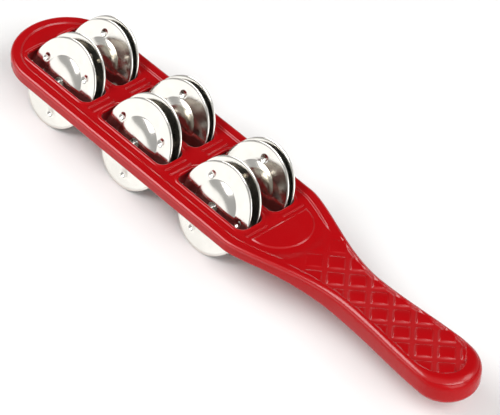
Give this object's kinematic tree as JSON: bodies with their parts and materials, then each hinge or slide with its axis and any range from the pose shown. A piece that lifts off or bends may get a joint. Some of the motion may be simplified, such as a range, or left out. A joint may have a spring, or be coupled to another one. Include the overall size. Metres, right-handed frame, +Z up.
{
  "type": "jingle stick",
  "caption": "Hand-held jingle stick: a long moulded head with windows of loose steel jingles on cross pins, and a deeper rounded grip handle.",
  "frame": {"origin": "under the middle of the whole stick, level with the lowest points of the jingles", "axes": "+X from the tip of the head to the end of the handle, +Y across the head, +Z up out of the upper shell"},
  "size_m": [0.3204, 0.057, 0.0402],
  "materials": {
    "red_abs": "glossy moulded ABS",
    "red_abs_lower": "glossy moulded ABS",
    "pin_steel": "drawn steel wire",
    "polished_steel": "pressed and polished steel sheet"
  },
  "bodies": {
    "frame": {"upper_shell": "red_abs", "lower_shell": "red_abs_lower", "jingle_pin_1": "pin_steel", "jingle_pin_2": "pin_steel", "jingle_pin_3": "pin_steel"},
    "jingle_1_left_front": {"jingle_1_left_front": "polished_steel"},
    "jingle_1_left_back": {"jingle_1_left_back": "polished_steel"},
    "jingle_1_right_front": {"jingle_1_right_front": "polished_steel"},
    "jingle_1_right_back": {"jingle_1_right_back": "polished_steel"},
    "jingle_2_left_front": {"jingle_2_left_front": "polished_steel"},
    "jingle_2_left_back": {"jingle_2_left_back": "polished_steel"},
    "jingle_2_right_front": {"jingle_2_right_front": "polished_steel"},
    "jingle_2_right_back": {"jingle_2_right_back": "polished_steel"},
    "jingle_3_left_front": {"jingle_3_left_front": "polished_steel"},
    "jingle_3_left_back": {"jingle_3_left_back": "polished_steel"},
    "jingle_3_right_front": {"jingle_3_right_front": "polished_steel"},
    "jingle_3_right_back": {"jingle_3_right_back": "polished_steel"}
  },
  "joints": [
    {"name": "jingle_1_left_front_spin", "type": "hinge", "parent": "frame", "child": "jingle_1_left_front", "pos_m": [-0.11985, -0.0136, 0.02027], "axis": [0, -0.866, 0.5], "continuous": true},
    {"name": "jingle_1_left_back_spin", "type": "hinge", "parent": "frame", "child": "jingle_1_left_back", "pos_m": [-0.11985, -0.0078, 0.02027], "axis": [0, -0.866, 0.5], "continuous": true},
    {"name": "jingle_1_right_front_spin", "type": "hinge", "parent": "frame", "child": "jingle_1_right_front", "pos_m": [-0.11985, 0.0098, 0.02027], "axis": [0, -0.866, 0.5], "continuous": true},
    {"name": "jingle_1_right_back_spin", "type": "hinge", "parent": "frame", "child": "jingle_1_right_back", "pos_m": [-0.11985, 0.0136, 0.02027], "axis": [0, -0.866, 0.5], "continuous": true},
    {"name": "jingle_2_left_front_spin", "type": "hinge", "parent": "frame", "child": "jingle_2_left_front", "pos_m": [-0.06125, -0.0136, 0.02027], "axis": [0, -0.866, 0.5], "continuous": true},
    {"name": "jingle_2_left_back_spin", "type": "hinge", "parent": "frame", "child": "jingle_2_left_back", "pos_m": [-0.06125, -0.0078, 0.02027], "axis": [0, -0.866, 0.5], "continuous": true},
    {"name": "jingle_2_right_front_spin", "type": "hinge", "parent": "frame", "child": "jingle_2_right_front", "pos_m": [-0.06125, 0.0098, 0.02027], "axis": [0, -0.866, 0.5], "continuous": true},
    {"name": "jingle_2_right_back_spin", "type": "hinge", "parent": "frame", "child": "jingle_2_right_back", "pos_m": [-0.06125, 0.0136, 0.02027], "axis": [0, -0.866, 0.5], "continuous": true},
    {"name": "jingle_3_left_front_spin", "type": "hinge", "parent": "frame", "child": "jingle_3_left_front", "pos_m": [-0.00265, -0.0136, 0.02027], "axis": [0, -0.866, 0.5], "continuous": true},
    {"name": "jingle_3_left_back_spin", "type": "hinge", "parent": "frame", "child": "jingle_3_left_back", "pos_m": [-0.00265, -0.0078, 0.02027], "axis": [0, -0.866, 0.5], "continuous": true},
    {"name": "jingle_3_right_front_spin", "type": "hinge", "parent": "frame", "child": "jingle_3_right_front", "pos_m": [-0.00265, 0.0098, 0.02027], "axis": [0, -0.866, 0.5], "continuous": true},
    {"name": "jingle_3_right_back_spin", "type": "hinge", "parent": "frame", "child": "jingle_3_right_back", "pos_m": [-0.00265, 0.0136, 0.02027], "axis": [0, -0.866, 0.5], "continuous": true}
  ]
}
